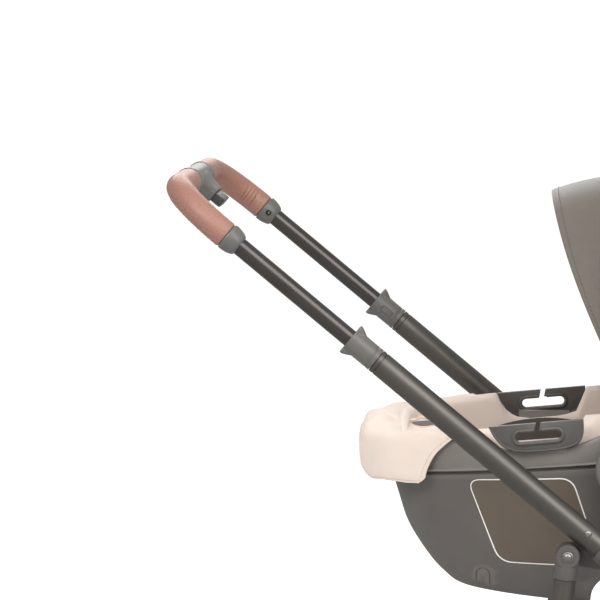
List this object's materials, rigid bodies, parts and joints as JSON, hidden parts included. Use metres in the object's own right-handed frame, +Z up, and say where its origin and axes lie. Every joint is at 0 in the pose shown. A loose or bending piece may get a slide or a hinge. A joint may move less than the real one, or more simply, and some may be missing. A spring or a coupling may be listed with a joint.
{
  "type": "travel system stroller",
  "caption": "Folding stroller chassis with a telescoping push handle, swivel casters and basket, carrying a clip-on infant carrier with canopy.",
  "frame": {"origin": "on the floor under the middle of the stroller's overall box", "axes": "+X to the front casters (away from the person who pushes), +Y to the stroller's left side, +Z up"},
  "size_m": [1.0994, 0.6114, 1.0612],
  "materials": {
    "gloss_tube": "gloss dark bronze anodised aluminium tube",
    "satin_tube": "satin dark bronze anodised aluminium tube",
    "leatherette": "brown embossed leatherette",
    "grey_plastic": "satin moulded grey plastic",
    "black_plastic": "satin moulded black plastic",
    "dark_plastic": "smooth dark plastic",
    "steel": "polished steel",
    "shell_plastic": "fine textured black-brown plastic",
    "rim_plastic": "satin grey-brown plastic",
    "wheel_plastic": "satin moulded plastic",
    "tyre": "foam rubber",
    "basket_fabric": "black woven polyester",
    "beige_fabric": "beige woven cotton blend",
    "canopy_fabric": "taupe woven polyester",
    "webbing": "grey webbing",
    "red_plastic": "red plastic"
  },
  "bodies": {
    "front_frame": {"front_leg_right": "satin_tube", "front_leg_left": "satin_tube", "lower_hub_right": "black_plastic", "lower_hub_left": "black_plastic", "fold_pin_right": "steel", "fold_pin_left": "steel", "caster_socket_right": "black_plastic", "caster_socket_left": "black_plastic", "cross_tube": "satin_tube", "basket_frame": "satin_tube", "storage_basket": "basket_fabric", "adapter_right": "black_plastic", "adapter_left": "black_plastic"},
    "push_bar": {"outer_tube_right": "satin_tube", "outer_tube_left": "satin_tube", "upper_hub_right": "black_plastic", "upper_hub_left": "black_plastic"},
    "handle": {"handle_tube": "gloss_tube", "grip_right": "leatherette", "grip_left": "leatherette", "grip_cap_right": "grey_plastic", "grip_cap_left": "grey_plastic", "release_housing": "grey_plastic"},
    "trigger": {"release_trigger": "dark_plastic"},
    "sleeve_right": {"telescope_sleeve_right": "grey_plastic"},
    "sleeve_left": {"telescope_sleeve_left": "grey_plastic"},
    "rear_frame": {"rear_leg_right": "satin_tube", "rear_leg_left": "satin_tube", "leg_cap_right": "black_plastic", "leg_cap_left": "black_plastic", "rear_axle": "satin_tube", "axle_bracket_right": "black_plastic", "axle_bracket_left": "black_plastic"},
    "brake": {"brake_pedal": "black_plastic"},
    "rear_wheel_right": {"rear_rim_right": "wheel_plastic", "rear_tyre_right": "tyre"},
    "rear_wheel_left": {"rear_rim_left": "wheel_plastic", "rear_tyre_left": "tyre"},
    "caster_right": {"caster_fork_right": "black_plastic"},
    "caster_left": {"caster_fork_left": "black_plastic"},
    "front_wheel_right": {"front_rim_right": "wheel_plastic", "front_tyre_right": "tyre"},
    "front_wheel_left": {"front_rim_left": "wheel_plastic", "front_tyre_left": "tyre"},
    "carrier": {"carrier_shell": "shell_plastic", "carrier_rim": "rim_plastic", "belt_guide_right": "grey_plastic", "belt_guide_left": "grey_plastic", "seat_liner": "beige_fabric", "foot_cover": "beige_fabric", "harness": "webbing", "buckle": "dark_plastic", "canopy_rear": "canopy_fabric"},
    "carry_handle": {"carry_handle": "grey_plastic"},
    "handle_button_right": {"handle_button_right": "dark_plastic"},
    "handle_button_left": {"handle_button_left": "dark_plastic"},
    "canopy_mid": {"canopy_mid": "canopy_fabric"},
    "canopy_front": {"canopy_front": "canopy_fabric"},
    "buckle_button": {"buckle_button": "red_plastic"}
  },
  "joints": [
    {"name": "handle_fold", "type": "hinge", "parent": "front_frame", "child": "push_bar", "pos_m": [0.03472, 0, 0.574], "axis": [0, 1, 0], "range_deg": [0, 160]},
    {"name": "rear_leg_fold", "type": "hinge", "parent": "front_frame", "child": "rear_frame", "pos_m": [-0.05628, 0, 0.578], "axis": [0, 1, 0], "range_deg": [-47, 0]},
    {"name": "handle_telescope", "type": "slide", "parent": "push_bar", "child": "handle", "axis": [-0.7705, 0, 0.6374], "range_m": [-0.16, 0]},
    {"name": "trigger_squeeze", "type": "slide", "parent": "handle", "child": "trigger", "axis": [-0.7705, 0, 0.6374], "range_m": [0, 0.008], "stiffness_N_per_m": 500, "springref_m": -0.002},
    {"name": "brake_press", "type": "hinge", "parent": "rear_frame", "child": "brake", "pos_m": [-0.11228, 0, 0.125], "axis": [0, 1, 0], "range_deg": [-16, 0]},
    {"name": "carrier_lift", "type": "slide", "parent": "front_frame", "child": "carrier", "axis": [0, 0, 1], "range_m": [0, 0.3]},
    {"name": "carry_handle_turn", "type": "hinge", "parent": "carrier", "child": "carry_handle", "pos_m": [0.01672, 0, 0.677], "axis": [0, 1, 0], "range_deg": [0, 110]},
    {"name": "canopy_fold", "type": "hinge", "parent": "carrier", "child": "canopy_mid", "pos_m": [0.03972, 0, 0.7], "axis": [0, 1, 0], "range_deg": [0, 27.5]},
    {"name": "canopy_front_fold", "type": "hinge", "parent": "canopy_mid", "child": "canopy_front", "pos_m": [0.03972, 0, 0.7], "axis": [0, 1, 0], "range_deg": [0, 27.5]},
    {"name": "buckle_press", "type": "slide", "parent": "carrier", "child": "buckle_button", "axis": [0, 0, -1], "range_m": [0, 0.0035], "stiffness_N_per_m": 400, "springref_m": -0.002},
    {"name": "sleeve_lift_right", "type": "slide", "parent": "push_bar", "child": "sleeve_right", "axis": [-0.7705, 0, 0.6374], "range_m": [0, 0.008], "stiffness_N_per_m": 500, "springref_m": -0.002},
    {"name": "handle_button_press_right", "type": "slide", "parent": "carry_handle", "child": "handle_button_right", "axis": [0, 1, 0], "range_m": [0, 0.004], "stiffness_N_per_m": 400, "springref_m": -0.002},
    {"name": "rear_wheel_spin_right", "type": "hinge", "parent": "rear_frame", "child": "rear_wheel_right", "pos_m": [-0.11228, -0.28, 0.125], "axis": [0, 1, 0], "continuous": true},
    {"name": "caster_swivel_right", "type": "hinge", "parent": "front_frame", "child": "caster_right", "pos_m": [0.48972, -0.24, 0.2], "axis": [0, 0, 1], "continuous": true},
    {"name": "front_wheel_spin_right", "type": "hinge", "parent": "caster_right", "child": "front_wheel_right", "pos_m": [0.45972, -0.24, 0.09], "axis": [0, 1, 0], "continuous": true},
    {"name": "sleeve_lift_left", "type": "slide", "parent": "push_bar", "child": "sleeve_left", "axis": [-0.7705, 0, 0.6374], "range_m": [0, 0.008], "stiffness_N_per_m": 500, "springref_m": -0.002},
    {"name": "handle_button_press_left", "type": "slide", "parent": "carry_handle", "child": "handle_button_left", "axis": [0, -1, 0], "range_m": [0, 0.004], "stiffness_N_per_m": 400, "springref_m": -0.002},
    {"name": "rear_wheel_spin_left", "type": "hinge", "parent": "rear_frame", "child": "rear_wheel_left", "pos_m": [-0.11228, 0.28, 0.125], "axis": [0, 1, 0], "continuous": true},
    {"name": "caster_swivel_left", "type": "hinge", "parent": "front_frame", "child": "caster_left", "pos_m": [0.48972, 0.24, 0.2], "axis": [0, 0, 1], "continuous": true},
    {"name": "front_wheel_spin_left", "type": "hinge", "parent": "caster_left", "child": "front_wheel_left", "pos_m": [0.45972, 0.24, 0.09], "axis": [0, 1, 0], "continuous": true}
  ],
  "couplings": [
    {"joint": "rear_leg_fold", "follows": "handle_fold", "ratio": -0.29375},
    {"joint": "canopy_front_fold", "follows": "canopy_fold", "ratio": 1}
  ]
}
